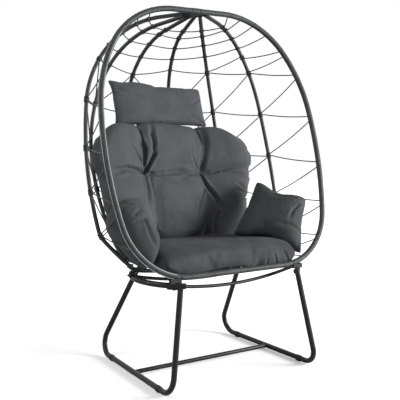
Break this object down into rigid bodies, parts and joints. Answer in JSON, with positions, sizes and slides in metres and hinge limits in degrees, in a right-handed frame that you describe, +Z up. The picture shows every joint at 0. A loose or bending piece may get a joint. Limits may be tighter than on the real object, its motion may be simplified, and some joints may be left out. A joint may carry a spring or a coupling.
{
  "type": "egg chair",
  "caption": "Free-standing egg chair: a wrapped hoop and ribs laced with cord form the shell, set on a tubular sled stand, with a tufted cushion set.",
  "frame": {"origin": "on the floor, in the middle of the chair's width and depth", "axes": "+Z up; the chair opens towards -Y; +X is towards the chair's right side as seen from the front"},
  "size_m": [1.0508, 0.8389, 1.4918],
  "materials": {
    "frame_paint": "satin black powder coat",
    "hoop_wicker": "dark grey synthetic strand, wound in close turns",
    "rib_wicker": "near-black synthetic strand, wound in close turns",
    "lacing_cord": "grey synthetic round strand",
    "black_plastic": "moulded, fine grain",
    "fasteners": "blackened steel",
    "seat_fabric": "woven polyester, slightly cool charcoal",
    "back_fabric": "woven polyester, charcoal",
    "tuft_fabric": "the cushion's own cloth, drawn tight over a button"
  },
  "bodies": {
    "root": {"left_front_leg": "frame_paint", "left_rear_leg": "frame_paint", "right_front_leg": "frame_paint", "right_rear_leg": "frame_paint", "left_sled_tube": "frame_paint", "right_sled_tube": "frame_paint", "sled_collars": "black_plastic", "cross_bar": "frame_paint", "cross_bar_screws": "fasteners", "left_side_arc": "frame_paint", "right_side_arc": "frame_paint", "front_tie": "frame_paint", "rear_tie": "frame_paint", "tie_screws": "fasteners", "arc_end_caps": "black_plastic", "hoop_brackets": "frame_paint", "hoop_bolts": "fasteners", "left_hoop_tube": "frame_paint", "right_hoop_tube": "frame_paint", "crown_spigot": "frame_paint", "foot_spigot": "frame_paint", "hoop_screws": "fasteners", "left_hoop_wrap": "hoop_wicker", "right_hoop_wrap": "hoop_wicker", "left_foot_wrap": "hoop_wicker", "right_foot_wrap": "hoop_wicker", "hoop_pads": "black_plastic", "crown_hub": "frame_paint", "seat_hub": "frame_paint", "rib_1": "frame_paint", "rib_2": "frame_paint", "rib_3": "frame_paint", "rib_4": "frame_paint", "rib_5": "frame_paint", "rib_6": "frame_paint", "rib_wrap_1": "rib_wicker", "rib_wrap_2": "rib_wicker", "rib_wrap_3": "rib_wicker", "rib_wrap_4": "rib_wicker", "rib_wrap_5": "rib_wicker", "rib_wrap_6": "rib_wicker", "rib_clips": "black_plastic", "crown_lacing": "lacing_cord", "back_lacing_upper": "lacing_cord", "back_lacing_lower": "lacing_cord", "seat_lacing": "lacing_cord", "left_diagonal_lacing": "lacing_cord", "right_diagonal_lacing": "lacing_cord", "seat_cushion": "seat_fabric", "back_cushion": "back_fabric", "back_tufts": "tuft_fabric", "headrest_pillow": "back_fabric", "headrest_ties": "back_fabric", "left_arm_pillow": "seat_fabric", "right_arm_pillow": "seat_fabric"}
  },
  "joints": []
}
